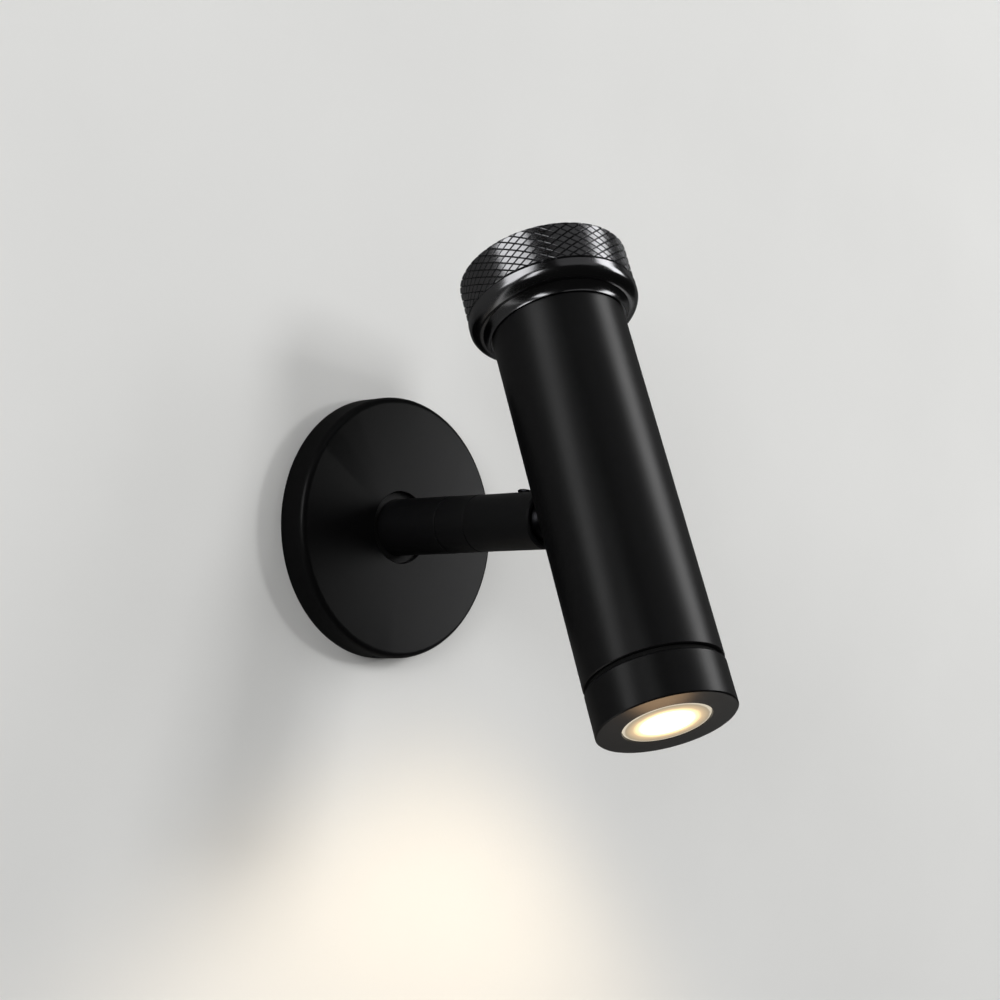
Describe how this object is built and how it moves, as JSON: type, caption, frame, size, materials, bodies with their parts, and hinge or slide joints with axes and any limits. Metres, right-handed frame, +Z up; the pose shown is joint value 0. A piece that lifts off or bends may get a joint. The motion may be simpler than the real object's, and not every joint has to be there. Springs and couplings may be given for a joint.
{
  "type": "wall light",
  "caption": "Wall spotlight: round rose, swivelling arm, ball joint and tilting tube head with a knurled dimmer knob and a round lit lens.",
  "frame": {"origin": "middle of the rose's back on the wall plane, at the centre of the two wall slots", "axes": "+Z up, +Y into the wall, -Y out into the room, +X to the right of someone facing the wall"},
  "size_m": [0.08, 0.1387, 0.1509],
  "materials": {
    "satin_black_coat": "satin black powder coat",
    "black_chrome": "polished black nickel plate",
    "zinc_plate": "zinc plated",
    "black_steel": "black oxide",
    "brass": "plain turned",
    "black_nylon": "moulded nylon",
    "white_nylon": "moulded nylon",
    "black_rubber": "soft moulded rubber",
    "lens_glass": "clear, lightly frosted inside",
    "optic_acrylic": "clear moulded acrylic",
    "bare_aluminium": "as turned",
    "led_phosphor": "yellow phosphor",
    "white_board": "white solder mask",
    "green_board": "green solder mask",
    "dark_component": "moulded epoxy",
    "lead_sheath": "soft lead insulation"
  },
  "bodies": {
    "root": {"wall_bracket": "zinc_plate", "rose": "satin_black_coat", "rose_grub_screws": "black_steel", "rose_bush": "black_nylon", "lock_washer": "zinc_plate", "base_nut": "brass", "base_nipple": "zinc_plate", "arm_base": "satin_black_coat", "earth_screw": "brass", "terminal_block": "white_nylon", "wave_washer": "zinc_plate", "spigot_nut": "brass"},
    "arm": {"swivel_ring": "satin_black_coat", "arm_tube": "satin_black_coat", "ball_seat": "black_nylon", "seat_lock_ring": "brass", "arm_set_screw": "black_steel", "arm_lead": "lead_sheath"},
    "head": {"ball_stud": "black_steel", "head_tube": "satin_black_coat", "stud_saddle": "bare_aluminium", "stud_nut": "zinc_plate", "front_bezel": "satin_black_coat", "groove_ring": "black_rubber", "lens": "lens_glass", "lens_seal": "black_rubber", "optic": "optic_acrylic", "led_chip": "led_phosphor", "led_board": "white_board", "heat_sink": "bare_aluminium", "led_board_screws": "zinc_plate", "driver_board": "green_board", "driver_capacitors": "dark_component", "driver_coil": "dark_component", "driver_chips": "dark_component", "head_lead": "lead_sheath", "led_leads": "lead_sheath", "rear_collar": "black_chrome", "dimmer_body": "dark_component", "dimmer_pins": "brass", "dimmer_leads": "lead_sheath", "dimmer_nut": "zinc_plate"},
    "knob": {"dimmer_shaft": "bare_aluminium", "knob": "black_chrome", "knob_grub_screw": "black_steel"}
  },
  "joints": [
    {"name": "arm_swivel", "type": "hinge", "parent": "root", "child": "arm", "pos_m": [0, -0.0383, 0], "axis": [0, -1, 0], "range_deg": [-170, 170]},
    {"name": "head_tilt", "type": "hinge", "parent": "arm", "child": "head", "pos_m": [0, -0.067, 0], "axis": [-1, 0, 0], "range_deg": [-65, 14]},
    {"name": "knob_turn", "type": "hinge", "parent": "head", "child": "knob", "pos_m": [0, -0.08904, 0.01047], "axis": [0, 0.4289, 0.9033], "range_deg": [0, 270]}
  ]
}
